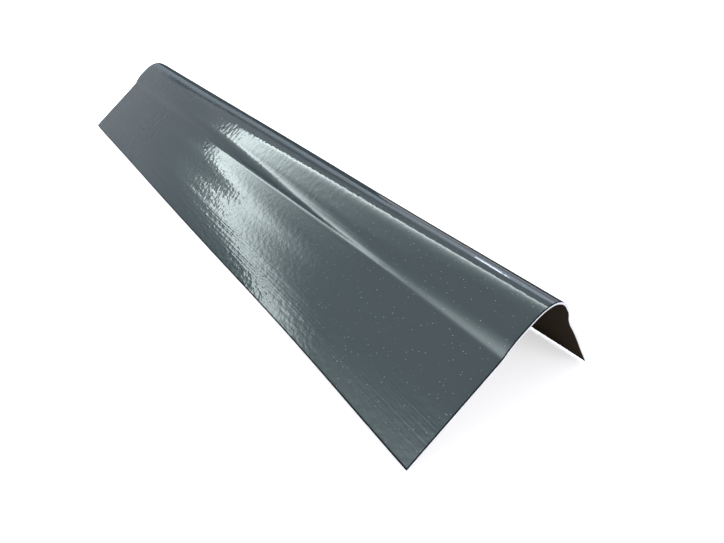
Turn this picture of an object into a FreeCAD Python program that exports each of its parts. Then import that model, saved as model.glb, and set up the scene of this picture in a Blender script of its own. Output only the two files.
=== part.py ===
"""Roof ridge cap: one length of bent sheet, with a raised round crown and a flat wing on each side.

Units are millimetres. +X runs across the ridge, +Y along it and +Z up. The cap stands on its two
wing edges, and the origin is on the floor, midway between those edges and midway along the length.
"""
import FreeCAD
import Part

import math
import os

# Stock: the cut length and the thickness of the sheet
LENGTH = 1000.0
SHEET_THICKNESS = 2.6

# Crown: a tight round at the ridge line that eases into a flat flank on each side
CROWN_TOP_RADIUS = 23.5
CROWN_TOP_SLOPE = 11.0
CROWN_SIDE_RADIUS = 41.0
FLANK_SLOPE = 41.0
FLANK_WIDTH = 14.0

# Step: a soft shoulder, a short steep fall and a tighter bend at its foot
SHOULDER_RADIUS = 66.5
STEP_SLOPE = 59.5
STEP_WIDTH = 1.8
FOOT_RADIUS = 25.0

# Wing: the flat flange that lies on the roof covering
WING_SLOPE = 43.5
WING_WIDTH = 118.0

# Half of the section, from the ridge line out to the wing edge. A bend gives its radius on the inside
# of the bend, and a flat gives its width. Each ends at the slope given, in degrees below the horizontal.
HALF_SECTION = [
    ("bend", CROWN_TOP_RADIUS, CROWN_TOP_SLOPE),
    ("bend", CROWN_SIDE_RADIUS, FLANK_SLOPE),
    ("flat", FLANK_WIDTH, FLANK_SLOPE),
    ("bend", SHOULDER_RADIUS, STEP_SLOPE),
    ("flat", STEP_WIDTH, STEP_SLOPE),
    ("bend", FOOT_RADIUS, WING_SLOPE),
    ("flat", WING_WIDTH, WING_SLOPE),
]


def upward(slope):
    """Unit normal of the upper surface where it falls away at this slope, as (x, z)."""
    angle = math.radians(slope)
    return math.sin(angle), math.cos(angle)


def moved(point, direction, distance):
    """The point a distance away along an (x, z) direction."""
    return point[0] + direction[0] * distance, point[1] + direction[1] * distance


def bend_stations(start, slope, inside_radius, end_slope):
    """Start, middle and end of a bend of the upper surface, each as (point, slope)."""
    falls_more = end_slope > slope
    towards_centre = -(inside_radius + SHEET_THICKNESS) if falls_more else inside_radius
    centre = moved(start, upward(slope), towards_centre)
    slopes = [slope, (slope + end_slope) / 2, end_slope]
    return [(moved(centre, upward(s), -towards_centre), s) for s in slopes]


def flat_stations(start, slope, width):
    """Start and end of a flat of the upper surface, each as (point, slope)."""
    normal = upward(slope)
    downhill = (normal[1], -normal[0])
    return [(start, slope), (moved(start, downhill, width), slope)]


def upper_half():
    """The upper surface from the ridge line, at (0, 0), to the wing edge, as a list of bends and flats."""
    point = (0.0, 0.0)
    slope = 0.0
    stretches = []
    for kind, size, end_slope in HALF_SECTION:
        if kind == "flat":
            stretches.append(flat_stations(point, end_slope, size))
        elif end_slope != slope:
            stretches.append(bend_stations(point, slope, size, end_slope))
        point, slope = stretches[-1][-1]
    return stretches


def section_face():
    """The whole section, standing in the XZ plane on its two wing edges."""
    stretches = upper_half()
    edge_point, edge_slope = stretches[-1][-1]
    floor = moved(edge_point, upward(edge_slope), -SHEET_THICKNESS)[1]

    def place(station, depth, side):
        """A station's point, this deep in the sheet, on the side +1 or -1 of the ridge."""
        x, z = moved(station[0], upward(station[1]), -depth)
        return FreeCAD.Vector(side * x, 0, z - floor)

    curves = []
    for side in (-1, 1):
        for depth in (0.0, SHEET_THICKNESS):
            for stretch in stretches:
                points = [place(station, depth, side) for station in stretch]
                curves.append(Part.Arc(*points) if len(points) == 3 else Part.LineSegment(*points))
        wing_edge = [place(stretches[-1][-1], depth, side) for depth in (0.0, SHEET_THICKNESS)]
        curves.append(Part.LineSegment(*wing_edge))
    edges = Part.sortEdges([curve.toShape() for curve in curves])[0]
    return Part.Face(Part.Wire(edges))


def ridge_cap():
    """The section run along the whole length, with the two halves of the crown merged into one face."""
    face = section_face()
    face.translate(FreeCAD.Vector(0, -LENGTH / 2, 0))
    return face.extrude(FreeCAD.Vector(0, LENGTH, 0)).removeSplitter()


os.makedirs("parts", exist_ok=True)
solid = ridge_cap()
solid.exportStep("parts/ridge_cap.step")
box = solid.BoundBox
print(f"ridge_cap: {box.XLength:.1f} x {box.YLength:.1f} x {box.ZLength:.1f} mm,"
      f" volume {solid.Volume / 1000:.1f} cm3, valid {solid.isValid()}, faces {len(solid.Faces)}")
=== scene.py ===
"""Looks of the roof ridge cap: a coated sheet with a pebbled gloss, pale cut ends and a brown underside.

Units are metres, in the part's own frame: +X across the ridge, +Y along it, +Z up from the floor. The near
end is the one at the lowest y. Girth is the way over the upper face from the ridge line outwards.
"""

import math

import bpy
import numpy as np
from mathutils import Euler, Matrix, Vector


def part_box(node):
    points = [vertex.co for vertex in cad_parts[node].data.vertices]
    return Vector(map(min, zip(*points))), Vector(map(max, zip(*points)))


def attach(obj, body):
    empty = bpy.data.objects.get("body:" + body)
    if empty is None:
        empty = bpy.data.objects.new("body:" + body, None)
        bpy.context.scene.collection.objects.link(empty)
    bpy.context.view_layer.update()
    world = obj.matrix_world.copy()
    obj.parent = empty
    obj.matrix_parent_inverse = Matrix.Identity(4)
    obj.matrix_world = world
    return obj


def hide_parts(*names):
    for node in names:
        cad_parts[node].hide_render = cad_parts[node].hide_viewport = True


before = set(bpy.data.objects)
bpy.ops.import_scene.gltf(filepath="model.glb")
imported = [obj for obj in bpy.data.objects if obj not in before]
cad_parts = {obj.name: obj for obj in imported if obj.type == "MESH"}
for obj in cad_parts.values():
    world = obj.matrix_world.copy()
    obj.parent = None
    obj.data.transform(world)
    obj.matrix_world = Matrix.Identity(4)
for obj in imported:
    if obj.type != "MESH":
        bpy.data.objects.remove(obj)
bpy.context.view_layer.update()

# Box of the plain solid, from the frame
CAP_LOW, CAP_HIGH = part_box("ridge_cap")
LENGTH = CAP_HIGH.y - CAP_LOW.y
HALF_LENGTH = LENGTH / 2

# Sheet, with the small round that the cut leaves on every edge
SHEET_THICKNESS = 0.0026
EDGE_ROUND = 0.0003
EDGE_STEPS = 3
EDGE_SUPPORT = 0.0010
STATION_PITCH = 0.004

# Half section from the ridge line outwards: kind, inside radius or width, end slope in degrees, mesh steps
HALF_SECTION = [
    ("bend", 0.0235, 11.0, 6),
    ("bend", 0.0410, 41.0, 12),
    ("flat", 0.0140, 41.0, 5),
    ("bend", 0.0665, 59.5, 14),
    ("flat", 0.0018, 59.5, 2),
    ("bend", 0.0250, 43.5, 8),
    ("flat", 0.1180, 43.5, 32),
]

# Lazy waves that the bending left in the wing: girth, and how much steeper than flat it is there, in degrees.
# They fade out towards the two ends.
WING_LEANS = [
    (0.0645, 0.0), (0.0665, 1.2), (0.070, 1.2), (0.0715, 0.0), (0.075, -0.9), (0.086, -0.5), (0.092, 0.3),
    (0.098, 1.6), (0.104, 3.0), (0.110, 3.2), (0.116, 2.4), (0.122, 1.2), (0.128, 0.0), (0.140, 0.1),
    (0.146, 0.6), (0.152, 1.5), (0.158, 1.6), (0.164, 2.4), (0.170, 3.4), (0.176, 4.0), (0.191, 4.3),
]
WAVE_STEPS = 400
NEAR_FADE = 0.15
FAR_FADE = 0.36

# Ripple along the free edge of the wing: height, length, the place of a crest and the girth where it sets in
RIPPLE = 0.0012
RIPPLE_LENGTH = 0.52
RIPPLE_CREST = -0.38
RIPPLE_START = 0.105

# Small swells of the right side against the left: girth, reach and height
RIGHT_SWELLS = [(0.056, 0.011, -0.0025), (0.105, 0.035, 0.0008)]

# Sharper crown towards the far end: height, reach over the girth and where it sets in along the ridge
CROWN_PEAK = 0.0012
CROWN_PEAK_REACH = 0.016
CROWN_PEAK_START = 0.10

# Slight pinch of the whole section: share, place along the ridge, reach and the height that it draws in to
PINCH = 0.0170
PINCH_PLACE = -0.29
PINCH_REACH = 0.16
PINCH_HEIGHT = 0.06

# Colours, as linear values
SLATE = (0.044, 0.058, 0.0625, 1.0)
# Painted shade: the dark navy of the line painted along the edges
EDGE_SHADE_NAVY = (0.004, 0.006, 0.013, 1.0)
DUST = (0.22, 0.26, 0.275, 1.0)
CUT_WHITE = (0.90, 0.90, 0.91, 1.0)
UNDERSIDE_BROWN = (0.045, 0.034, 0.023, 1.0)
FLOOR_WHITE = (0.90, 0.90, 0.90, 1.0)
WORLD_TINT = (0.89, 0.89, 1.0, 1.0)
WINDOW_TINT = (0.88, 1.0, 0.99, 1.0)
LAVENDER_TINT = (0.76, 0.86, 1.0, 1.0)
FLAG_BLACK = (0.03, 0.03, 0.035, 1.0)
FLAG_GREY = (0.13, 0.13, 0.15, 1.0)
FLAG_BROWN = (0.05, 0.04, 0.035, 1.0)

# Gloss of the surfaces
COAT_ROUGHNESS = 0.07
COAT_IOR = 1.5
PLAIN_GLOSS = 0.5
NO_GLOSS = 0.0
UNDERSIDE_ROUGHNESS = 0.6
CUT_ROUGHNESS = 0.7
FLAG_ROUGHNESS = 1.0

# Pebbles of the coat: cell across and along the sheet, height and fineness of the noise
WING_PEBBLE = (0.0058, 0.0082)
FLANK_PEBBLE = (0.0110, 0.0075)
PEBBLE_HEIGHT = 0.00019
PEBBLE_DETAIL = 1.5

# Girths between which the pebbles change, and the share of them that is left on the calm side
WING_PEBBLE_EASE = (0.068, 0.082)
WING_PEBBLE_LEAST = 0.12
FLANK_PEBBLE_EASE = (0.060, 0.046)
CROWN_PEBBLE_EASE = (0.012, 0.028)
CROWN_PEBBLE_LEAST = 0.6

# Lines that the rolls left along the sheet: spacing across and along it, height, and the band of girth that
# they rise and sink in
LINE_DETAIL = 1.0
WING_LINES = dict(spacing=(0.0026, 0.45), height=0.00020, band=(0.142, 0.150, 0.164, 0.188))
STEP_LINES = dict(spacing=(0.0022, 0.05), height=0.00003, band=(0.050, 0.056, 0.066, 0.069))

# Dust: pitch and size of the specks, share of the places that hold one, and how it thins out along the ridge
DUST_PITCH = 0.0028
DUST_SIZE = 0.00045
DUST_SHARE = 0.6
DUST_EASE = (0.15, -0.15)
DUST_LEAST = 0.3

# Painted shade, a dark line without gloss along the edges: from where to where it sets in, as distances from
# the two ends and as a girth
NEAR_LINE = (0.0015, 0.0008)
FAR_LINE = (0.0035, 0.0022)
WING_LINE = (0.1888, 0.1897)

# Sockets of a Mix node that blends colours
MIX_FIRST = 6
MIX_SECOND = 7
MIX_RESULT = 2

# Camera of the photograph, with its focus and image centre in pixels
FRAME_SIZE = (724, 543)
CAMERA_PLACE = (-0.3590, -0.6475, 0.3370)
CAMERA_TURN = (56.9979, -6.7910, -36.1379)
CAMERA_FOCUS = 479.61
CAMERA_CENTRE = (346.43, 285.38)
SENSOR_WIDTH = 36.0
CLIP_START = 0.01

# Floor: radius of its flat, size of its rim, how far it lies below the solid, its glow where it is seen, and
# the mesh steps round it and up its rim
FLOOR_FLAT = 9.0
FLOOR_RIM = 1.2
FLOOR_DROP = 0.0029
FLOOR_LIFT = 0.55
TURN_STEPS = 96
RIM_STEPS = 16

# World and key light
WORLD_LEVEL = 0.65
KEY_SIZE = 3.0
KEY_POWER = 70.0
KEY_PLACE = (-1.5, -3.5, 2.6)

# Ceiling panels, by their corners in plan. The first edge is the brightest, at the peak above the world's
# level, and the panel lies to the left of it. The glow falls off inwards over the fade, which grows by the
# spread along that edge, and the power shapes the fall. A lower panel hides a higher one.
CEILING = 1.627
PANELS = {
    "right_panel": dict(
        corners=[(0.745, 0.0), (-0.53, 2.62), (-1.43, 2.18), (-0.155, -0.44)],
        peak=17.0, fade=0.095, power=0.8, spread=0.040),
    "corner_panel": dict(
        corners=[(-0.53, 2.66), (-1.17, 3.5), (-1.32, 3.62), (-1.32, 1.5),
                 (-0.9, 1.2), (-0.45, 1.2), (-0.45, 1.7), (-0.6, 2.2)],
        peak=8.4, fade=0.6, power=1.8, rise=-0.005),
    "far_panel": dict(
        corners=[(-1.3, 3.62), (-1.5, 3.62), (-1.75, 3.5), (-2.4, 3.45), (-2.4, 2.1),
                 (-2.2, 2.0), (-1.7, 2.0), (-1.7, 1.6), (-1.3, 1.5)],
        peak=9.6, fade=0.95, power=2.2),
    "far_left_panel": dict(
        corners=[(-2.4, 3.62), (-4.1, 3.60), (-4.1, 2.3), (-2.4, 2.1)],
        peak=8.8, fade=0.68, power=2.0, spread=0.26),
    "fringe_panel": dict(
        corners=[(-4.1, 3.60), (-2.4, 3.62), (-1.32, 3.62), (-1.32, 4.6), (-4.1, 4.6)],
        peak=2.4, fade=0.13, power=1.0, rise=0.01),
    "dim_panel": dict(
        corners=[(-5.0, 5.0), (-3.48, 3.6), (0.0, 3.6), (0.0, 9.0), (-5.0, 9.0)],
        peak=-0.22, fade=2.75, power=4.0, rise=0.02, tint=WORLD_TINT),
    "left_panel": dict(
        corners=[(-4.1, 0.2), (-3.55, -0.63), (-1.7, -0.63), (-1.7, 2.0),
                 (-2.2, 2.0), (-2.4, 2.1), (-4.1, 2.3)],
        peak=4.6, fade=1.62, power=4.0),
    "crown_panel": dict(
        corners=[(1.45, 0.3), (2.9, 0.3), (4.0, 9.0), (0.0, 9.0), (0.36, 4.4), (0.42, 3.69),
                 (0.72, 3.16), (0.83, 2.45), (0.88, 1.95), (1.0, 1.45), (1.25, 0.95), (1.32, 0.6)],
        peak=2.4, fade=1.4, power=1.2, tint=LAVENDER_TINT),
    "crown_streak": dict(
        corners=[(1.36, 0.50), (1.95, 0.77), (1.95, 1.00), (1.36, 0.73)],
        peak=13.0, fade=0.35, power=4.0, rise=-0.005, tint=LAVENDER_TINT),
}

# Dark cards that only reflections see, hung just under the panels, by their corners in plan
FLAG_CEILING = 1.60
CEILING_FLAGS = {
    "crown_flag": dict(
        corners=[(0.99, 1.06), (0.83, 1.38), (0.75, 1.83), (0.71, 2.33), (0.59, 3.02), (0.38, 3.62),
                 (0.32, 4.2), (-0.37, 4.2), (-0.01, 3.54), (0.24, 2.86), (0.35, 2.17), (0.38, 1.68),
                 (0.63, 1.3), (0.82, 0.99)],
        colour=FLAG_GREY),
    "far_flag": dict(
        corners=[(-3.4, 3.85), (-4.6, 3.85), (-4.6, 6.5), (-3.4, 6.5)],
        colour=FLAG_BLACK),
}

# Low dark cards on the right of the cap, mirrored along the outline of the ridge, by their corners in space
LOW_FLAGS = {
    "ridge_flag": dict(
        corners=[(0.16, -0.12, 0.003), (1.0, 0.70, 0.80), (1.0, 6.0, 0.80), (0.16, 6.0, 0.003)],
        colour=FLAG_BLACK),
    "far_ridge_flag": dict(
        corners=[(0.9, 2.4, 0.70), (1.0, 2.4, 1.05), (1.0, 6.0, 1.25), (0.9, 6.0, 0.70)],
        colour=FLAG_BLACK),
    "near_flag": dict(
        corners=[(0.16, -1.0, 0.003), (0.5, -1.0, 0.16), (0.5, 0.21, 0.16), (0.16, -0.12, 0.003)],
        colour=FLAG_BROWN),
}


def new_object(name, data):
    """A new object in the scene, holding this mesh, light or camera."""
    piece = bpy.data.objects.new(name, data)
    bpy.context.scene.collection.objects.link(piece)
    return piece


def add_node(tree, kind, inputs=None, **settings):
    """A new shader node. An input is a plain value, or the socket that feeds it."""
    node = tree.nodes.new(kind)
    for key, value in settings.items():
        setattr(node, key, value)
    for key, value in (inputs or {}).items():
        if isinstance(value, bpy.types.NodeSocket):
            tree.links.new(value, node.inputs[key])
        else:
            node.inputs[key].default_value = value
    return node


def compute(tree, operation, first, second=0.0):
    """The result of one Math node."""
    return add_node(tree, "ShaderNodeMath", {0: first, 1: second}, operation=operation).outputs[0]


def ramp(tree, value, start, end):
    """0 up to start, 1 from end on and a smooth change between them."""
    inputs = {"Value": value, "From Min": start, "From Max": end}
    return add_node(tree, "ShaderNodeMapRange", inputs, interpolation_type="SMOOTHSTEP").outputs[0]


def at_least(tree, share, least):
    """A share of 0 to 1, squeezed into the range from least to 1."""
    return compute(tree, "ADD", compute(tree, "MULTIPLY", share, 1.0 - least), least)


def blend(tree, factor, first, second):
    """A colour between two, by a factor."""
    inputs = {"Factor": factor, MIX_FIRST: first, MIX_SECOND: second}
    return add_node(tree, "ShaderNodeMix", inputs, data_type="RGBA").outputs[MIX_RESULT]


def new_material(name):
    """A material with an empty node tree and its output node."""
    material = bpy.data.materials.new(name)
    material.use_nodes = True
    tree = material.node_tree
    tree.nodes.clear()
    return material, tree, tree.nodes.new("ShaderNodeOutputMaterial")


# Section of the sheet

def half_columns():
    """Upper surface from the ridge line to the wing edge: x, z, slope in radians and girth at each column."""
    x, z, slope, girth = 0.0, 0.0, 0.0, 0.0
    columns = [(x, z, slope, girth)]
    for kind, size, end_degrees, steps in HALF_SECTION:
        end = math.radians(end_degrees)
        radius = size + SHEET_THICKNESS if end > slope else -size
        turn = (end - slope) / steps
        for _ in range(steps):
            if kind == "flat":
                length = size / steps
                x += length * math.cos(end)
                z -= length * math.sin(end)
            else:
                length = radius * turn
                x += radius * (math.sin(slope + turn) - math.sin(slope))
                z += radius * (math.cos(slope + turn) - math.cos(slope))
                slope += turn
            girth += length
            columns.append((x, z, slope, girth))
        slope = end
    return np.array(columns)


def edge_rounding():
    """Steps round a cut edge: how far short of the edge each is, and its inset from the faces."""
    angles = np.radians(np.linspace(0.0, 90.0, EDGE_STEPS + 1))
    return list(zip(EDGE_ROUND * (1.0 - np.sin(angles)), EDGE_ROUND * (1.0 - np.cos(angles))))


def section():
    """All columns from the left wing edge to the right: x, z, normal x, normal z, girth and inset."""
    half = half_columns()
    x, z, slope, girth = half[-1]
    rows = [(*column, 0.0) for column in half[:-1]]
    for short, inset in [(EDGE_SUPPORT, 0.0)] + edge_rounding():
        rows.append((x - short * math.cos(slope), z + short * math.sin(slope), slope, girth - short, inset))
    right = np.array(rows)
    sides = []
    for side, part in ((-1, right[:0:-1]), (1, right)):
        x, z, slope, girth, inset = part.T
        sides.append(np.column_stack([side * x, z, side * np.sin(slope), np.cos(slope), side * girth, inset]))
    return np.vstack(sides)


def stations():
    """Places along the ridge, each with the inset that rounds the two cut ends."""
    last = HALF_LENGTH - EDGE_SUPPORT
    inner = np.linspace(-last, last, round(LENGTH / STATION_PITCH))
    ends = [(HALF_LENGTH - short, inset) for short, inset in edge_rounding()]
    near = [(-y, inset) for y, inset in reversed(ends)]
    return np.array(near + [(y, 0.0) for y in inner] + ends)


# Small departures of the real sheet from the straight section

def smooth(share):
    """A share of 0 to 1 with a soft start and a soft end."""
    return share ** 2 * (3.0 - 2.0 * share)


def wave_share(along):
    """How much of the wing's waves is left at this place along the ridge: none at the two ends."""
    near = min(1.0, (HALF_LENGTH + along) / NEAR_FADE)
    far = min(1.0, (HALF_LENGTH - along) / FAR_FADE)
    return smooth(near) * smooth(far)


def wing_wave(girth):
    """How far the real wing stands off a flat one, along its normal."""
    places, leans = np.array(WING_LEANS).T
    steps = np.linspace(places[0], places[-1], WAVE_STEPS)
    fall = np.tan(np.radians(np.interp(steps, places, leans)))
    off = -np.concatenate([[0.0], np.cumsum((fall[1:] + fall[:-1]) / 2 * np.diff(steps))])
    return np.interp(np.abs(girth), steps, off)


def edge_ripple(girth, along):
    """How far the free edge of the wing waves in and out along the length."""
    edge = WING_LEANS[-1][0]
    share = np.clip((np.abs(girth) - RIPPLE_START) / (edge - RIPPLE_START), 0.0, 1.0)
    turn = 2.0 * math.pi * (along - RIPPLE_CREST) / RIPPLE_LENGTH
    return RIPPLE * share * math.cos(turn)


def right_swell(girth):
    """How far the right side stands off the mirror of the left one, along its normal."""
    return sum(height * np.exp(-((girth - place) / reach) ** 2) for place, reach, height in RIGHT_SWELLS)


def crown_peak(girth, along):
    """How far the crown stands up towards the far end."""
    share = max(0.0, (along - CROWN_PEAK_START) / (HALF_LENGTH - CROWN_PEAK_START))
    return CROWN_PEAK * share ** 2 * np.exp(-(girth / CROWN_PEAK_REACH) ** 2)


def pinch(along):
    """How large the section is at this place along the ridge."""
    return 1.0 - PINCH * math.exp(-((along - PINCH_PLACE) / PINCH_REACH) ** 2)


# Mesh of the sheet

def sheet_points(columns, rows):
    """Points by ring, column and layer, with the girth and length of each."""
    x, z, normal_x, normal_z, girth, inset = columns.T
    points = np.zeros((len(rows), len(columns), 2, 3))
    sheet = np.zeros_like(points)
    wave = wing_wave(girth)
    swell = right_swell(girth)
    for ring, (y, end_inset) in enumerate(rows):
        lift = (wave + edge_ripple(girth, y)) * wave_share(y) + swell + crown_peak(girth, y)
        shrink = inset + end_inset
        scale = pinch(y)
        for layer, depth in enumerate((shrink, SHEET_THICKNESS - shrink)):
            height = z + normal_z * (lift - depth) + CAP_HIGH.z
            points[ring, :, layer, 0] = (x + normal_x * (lift - depth)) * scale
            points[ring, :, layer, 1] = y
            points[ring, :, layer, 2] = (height - PINCH_HEIGHT) * scale + PINCH_HEIGHT
        sheet[ring, :, :, 0] = girth[:, None]
        sheet[ring, :, :, 1] = y
    return points.reshape(-1, 3), sheet.reshape(-1)


def sheet_faces(rings, count):
    """Quads of the sheet, grouped by material: coat, underside and cut ends."""
    index = np.arange(rings * count * 2).reshape(rings, count, 2)
    top, under = index[:, :, 0], index[:, :, 1]

    def strip(*corners):
        """Quads from four arrays of corners."""
        return np.stack(corners, axis=-1).reshape(-1, 4)

    coat = [
        strip(top[:-1, :-1], top[:-1, 1:], top[1:, 1:], top[1:, :-1]),
        strip(top[:-1, 0], top[1:, 0], under[1:, 0], under[:-1, 0]),
        strip(top[:-1, -1], under[:-1, -1], under[1:, -1], top[1:, -1]),
    ]
    underside = [strip(under[:-1, :-1], under[1:, :-1], under[1:, 1:], under[:-1, 1:])]
    cut = [
        strip(top[0, :-1], under[0, :-1], under[0, 1:], top[0, 1:]),
        strip(top[-1, :-1], top[-1, 1:], under[-1, 1:], under[-1, :-1]),
    ]
    return [np.vstack(group) for group in (coat, underside, cut)]


def sheet_mesh():
    """The whole sheet as one closed mesh, with its girth and length stored on every point."""
    columns = section()
    rows = stations()
    points, sheet = sheet_points(columns, rows)
    groups = sheet_faces(len(rows), len(columns))
    mesh = bpy.data.meshes.new("ridge_cap_sheet")
    mesh.from_pydata(points.tolist(), [], np.vstack(groups).tolist())
    slots = np.concatenate([np.full(len(group), slot, np.int32) for slot, group in enumerate(groups)])
    mesh.polygons.foreach_set("material_index", slots)
    mesh.attributes.new("sheet", "FLOAT_VECTOR", "POINT").data.foreach_set("vector", sheet)
    mesh.shade_smooth()
    mesh.update()
    return mesh


# Materials

def stretched_noise(tree, place, cell, detail):
    """Noise with cells of this size across and along the sheet."""
    scale = (1.0 / cell[0], 1.0 / cell[1], 1.0)
    spread = add_node(tree, "ShaderNodeVectorMath", {0: place, 1: scale}, operation="MULTIPLY").outputs[0]
    inputs = {"Vector": spread, "Scale": 1.0, "Detail": detail}
    return add_node(tree, "ShaderNodeTexNoise", inputs).outputs["Fac"]


def pebbles(tree, place, size):
    """Bump of the pebbled coat: one grain on the wing, another on the crown and flank, little on the step."""
    wing_share = at_least(tree, ramp(tree, size, *WING_PEBBLE_EASE), WING_PEBBLE_LEAST)
    wing_noise = stretched_noise(tree, place, WING_PEBBLE, PEBBLE_DETAIL)
    wing = compute(tree, "MULTIPLY", wing_noise, wing_share)
    crown_share = at_least(tree, ramp(tree, size, *CROWN_PEBBLE_EASE), CROWN_PEBBLE_LEAST)
    flank_share = compute(tree, "MULTIPLY", ramp(tree, size, *FLANK_PEBBLE_EASE), crown_share)
    flank_noise = stretched_noise(tree, place, FLANK_PEBBLE, PEBBLE_DETAIL)
    flank = compute(tree, "MULTIPLY", flank_noise, flank_share)
    height = compute(tree, "ADD", wing, flank)
    return add_node(tree, "ShaderNodeBump", {"Height": height, "Distance": PEBBLE_HEIGHT}).outputs[0]


def rolling_lines(tree, place, size, normal, spacing, height, band):
    """Bump of fine lines along the sheet, in one band of its girth, on top of an earlier bump."""
    rise_start, rise_end, sink_start, sink_end = band
    rise = ramp(tree, size, rise_start, rise_end)
    inside = compute(tree, "MULTIPLY", rise, ramp(tree, size, sink_end, sink_start))
    relief = compute(tree, "MULTIPLY", stretched_noise(tree, place, spacing, LINE_DETAIL), inside)
    inputs = {"Height": relief, "Distance": height, "Normal": normal}
    return add_node(tree, "ShaderNodeBump", inputs).outputs[0]


def dust(tree, place, along):
    """1 on small specks of dust, most of them on the near half."""
    cells = add_node(tree, "ShaderNodeTexVoronoi", {"Vector": place, "Scale": 1.0 / DUST_PITCH})
    chance = add_node(tree, "ShaderNodeSeparateColor", {0: cells.outputs["Color"]}).outputs[0]
    near = at_least(tree, ramp(tree, along, *DUST_EASE), DUST_LEAST)
    speck = ramp(tree, chance, 1.0 - DUST_SHARE, 1.0)
    limit = compute(tree, "MULTIPLY", compute(tree, "MULTIPLY", speck, near), DUST_SIZE / DUST_PITCH)
    return compute(tree, "LESS_THAN", cells.outputs["Distance"], limit)


def painted_edge_shade(tree, along, size):
    """1 on the painted shade, a dark line along the two ends and the wing edges."""
    near = ramp(tree, along, NEAR_LINE[0] - HALF_LENGTH, NEAR_LINE[1] - HALF_LENGTH)
    far = ramp(tree, along, HALF_LENGTH - FAR_LINE[0], HALF_LENGTH - FAR_LINE[1])
    ends = compute(tree, "MAXIMUM", near, far)
    return compute(tree, "MAXIMUM", ends, ramp(tree, size, *WING_LINE))


def coat_material():
    """Glossy slate coat with pebbles, rolling lines, dust and a dull, dark line of painted shade at the
    edges.
    """
    material, tree, output = new_material("slate_coat")
    place = add_node(tree, "ShaderNodeAttribute", attribute_name="sheet").outputs["Vector"]
    girth, along, _ = add_node(tree, "ShaderNodeSeparateXYZ", {0: place}).outputs
    size = compute(tree, "ABSOLUTE", girth)
    edge = painted_edge_shade(tree, along, size)
    colour = blend(tree, dust(tree, place, along), SLATE, DUST)
    # Painted shade: the edges are blended to dark navy
    colour = blend(tree, edge, colour, EDGE_SHADE_NAVY)
    normal = pebbles(tree, place, size)
    for lines in (WING_LINES, STEP_LINES):
        normal = rolling_lines(tree, place, size, normal, **lines)
    # The painted shade line at the edges also loses its gloss
    gloss = compute(tree, "MULTIPLY", compute(tree, "SUBTRACT", 1.0, edge), PLAIN_GLOSS)
    shader = add_node(tree, "ShaderNodeBsdfPrincipled", {
        "Base Color": colour,
        "Roughness": COAT_ROUGHNESS,
        "IOR": COAT_IOR,
        "Specular IOR Level": gloss,
        "Normal": normal,
    })
    tree.links.new(shader.outputs["BSDF"], output.inputs["Surface"])
    return material


def plain_material(name, colour, roughness, gloss):
    """A material of one colour."""
    material, tree, output = new_material(name)
    shader = add_node(tree, "ShaderNodeBsdfPrincipled", {
        "Base Color": colour,
        "Roughness": roughness,
        "Specular IOR Level": gloss,
    })
    tree.links.new(shader.outputs["BSDF"], output.inputs["Surface"])
    return material


def make_cap():
    """The dressed sheet, in place of the plain solid."""
    mesh = sheet_mesh()
    mesh.materials.append(coat_material())
    mesh.materials.append(plain_material("brown_underside", UNDERSIDE_BROWN, UNDERSIDE_ROUGHNESS, NO_GLOSS))
    mesh.materials.append(plain_material("pale_cut", CUT_WHITE, CUT_ROUGHNESS, PLAIN_GLOSS))
    cap = new_object("coated_cap", mesh)
    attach(cap, "root")
    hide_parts("ridge_cap")


# Floor

def seen(tree):
    """1 for the rays of the camera and of reflections, 0 for the rays that only light things."""
    path = add_node(tree, "ShaderNodeLightPath").outputs
    camera_or_gloss = compute(tree, "MAXIMUM", path["Is Camera Ray"], path["Is Glossy Ray"])
    return compute(tree, "MAXIMUM", camera_or_gloss, path["Is Transmission Ray"])


def floor_material():
    """White floor, lifted to paper white where it is seen, with the object's shadow kept."""
    material, tree, output = new_material("white_floor")
    plain = add_node(tree, "ShaderNodeBsdfDiffuse", {"Color": FLOOR_WHITE})
    strength = compute(tree, "MULTIPLY", seen(tree), FLOOR_LIFT)
    lift = add_node(tree, "ShaderNodeEmission", {"Strength": strength})
    both = add_node(tree, "ShaderNodeAddShader", {0: plain.outputs[0], 1: lift.outputs[0]})
    tree.links.new(both.outputs[0], output.inputs["Surface"])
    return material


def floor_points():
    """The floor's middle, then the rings of its rim from the flat upwards."""
    points = [(0.0, 0.0, 0.0)]
    for row in range(RIM_STEPS + 1):
        rise = math.radians(90.0 * row / RIM_STEPS)
        radius = FLOOR_FLAT + FLOOR_RIM * math.sin(rise)
        height = FLOOR_RIM * (1.0 - math.cos(rise))
        for step in range(TURN_STEPS):
            turn = 2.0 * math.pi * step / TURN_STEPS
            points.append((radius * math.cos(turn), radius * math.sin(turn), height))
    return points


def floor_faces():
    """Triangles of the flat round the middle, then the quads of the rim."""
    faces = [(0, 1 + step, 1 + (step + 1) % TURN_STEPS) for step in range(TURN_STEPS)]
    for row in range(RIM_STEPS):
        inner = 1 + row * TURN_STEPS
        outer = inner + TURN_STEPS
        for step in range(TURN_STEPS):
            following = (step + 1) % TURN_STEPS
            faces.append((inner + step, outer + step, outer + following, inner + following))
    return faces


def make_floor():
    """A round white floor that curves up into a low rim."""
    mesh = bpy.data.meshes.new("floor")
    mesh.from_pydata(floor_points(), [], floor_faces())
    mesh.shade_smooth()
    mesh.materials.append(floor_material())
    floor = new_object("floor", mesh)
    floor.location.z = -FLOOR_DROP


# Light

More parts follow.
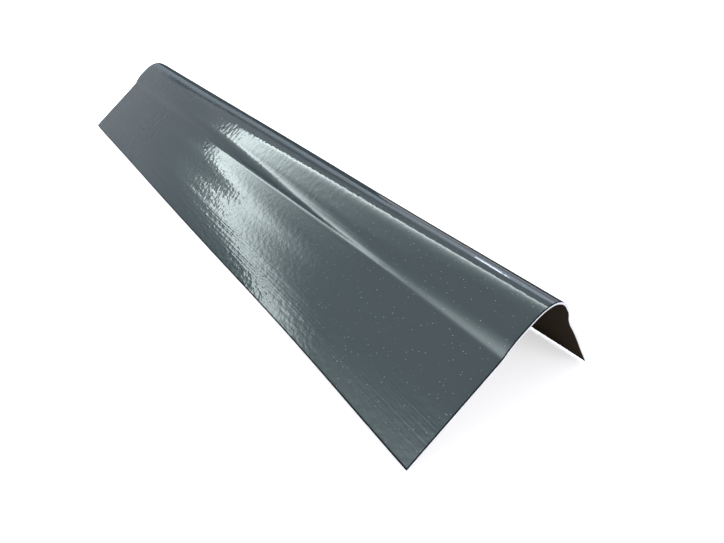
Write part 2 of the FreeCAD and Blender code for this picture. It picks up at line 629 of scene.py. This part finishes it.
def panel_material(name, peak, fade, power, tint, spread):
    """Glow that is brightest along the panel's first edge and fades inwards."""
    material, tree, output = new_material(name)
    place = add_node(tree, "ShaderNodeTexCoord").outputs["Object"]
    along, inward, _ = add_node(tree, "ShaderNodeSeparateXYZ", {0: place}).outputs
    reach = compute(tree, "ADD", compute(tree, "MULTIPLY", along, spread), fade)
    depth = compute(tree, "POWER", compute(tree, "DIVIDE", inward, reach), power)
    fall = compute(tree, "EXPONENT", compute(tree, "MULTIPLY", depth, -1.0))
    level = compute(tree, "ADD", compute(tree, "MULTIPLY", fall, peak), WORLD_LEVEL)
    glow = add_node(tree, "ShaderNodeEmission", {"Color": tint, "Strength": level})
    tree.links.new(glow.outputs[0], output.inputs["Surface"])
    return material


def make_panel(name, corners, peak, fade, power, tint=WINDOW_TINT, rise=0.0, spread=0.0):
    """A level ceiling panel. Its own frame has X along its first edge and Y inwards."""
    start = Vector(corners[0])
    edge = Vector(corners[1]) - start
    turn = math.atan2(edge.y, edge.x)
    to_panel = Matrix.Rotation(-turn, 2)
    points = [(*(to_panel @ (Vector(corner) - start)), 0.0) for corner in corners]
    mesh = bpy.data.meshes.new(name)
    mesh.from_pydata(points, [], [tuple(range(len(points)))])
    mesh.materials.append(panel_material(name, peak, fade, power, tint, spread))
    panel = new_object(name, mesh)
    panel.location = (*corners[0], CEILING + rise)
    panel.rotation_euler = Euler((0.0, 0.0, turn))
    panel.visible_camera = False


def make_flag(name, corners, colour):
    """A dark card that only reflections see."""
    mesh = bpy.data.meshes.new(name)
    mesh.from_pydata(corners, [], [tuple(range(len(corners)))])
    mesh.materials.append(plain_material(name, colour, FLAG_ROUGHNESS, NO_GLOSS))
    flag = new_object(name, mesh)
    flag.visible_camera = False
    flag.visible_diffuse = False
    flag.visible_shadow = False


def make_key():
    """A soft light from behind the camera, turned to the middle of the cap."""
    data = bpy.data.lights.new("key", "AREA")
    data.size = KEY_SIZE
    data.energy = KEY_POWER
    key = new_object("key", data)
    key.location = KEY_PLACE
    key.rotation_euler = (-key.location).to_track_quat("-Z", "Y").to_euler()


def make_world():
    """Even light from all round."""
    world = bpy.data.worlds.new("studio")
    bpy.context.scene.world = world
    world.use_nodes = True
    background = world.node_tree.nodes["Background"]
    background.inputs["Color"].default_value = WORLD_TINT
    background.inputs["Strength"].default_value = WORLD_LEVEL


def make_light():
    """World light, ceiling panels, dark cards and key."""
    make_world()
    for name, panel in PANELS.items():
        make_panel(name, **panel)
    for name, flag in CEILING_FLAGS.items():
        corners = [(x, y, FLAG_CEILING) for x, y in flag["corners"]]
        make_flag(name, corners, flag["colour"])
    for name, flag in LOW_FLAGS.items():
        make_flag(name, **flag)
    make_key()


def make_camera():
    """Camera at the photograph's place, turn, focus and image centre."""
    width, height = FRAME_SIZE
    data = bpy.data.cameras.new("photo_camera")
    data.sensor_fit = "HORIZONTAL"
    data.sensor_width = SENSOR_WIDTH
    data.lens = SENSOR_WIDTH * CAMERA_FOCUS / width
    data.shift_x = (width / 2 - CAMERA_CENTRE[0]) / width
    data.shift_y = (CAMERA_CENTRE[1] - height / 2) / width
    data.clip_start = CLIP_START
    camera = new_object("photo_camera", data)
    camera.location = CAMERA_PLACE
    camera.rotation_euler = Euler([math.radians(turn) for turn in CAMERA_TURN])
    bpy.context.scene.camera = camera


make_cap()
make_floor()
make_light()
make_camera()
bpy.context.scene.view_settings.view_transform = "Standard"
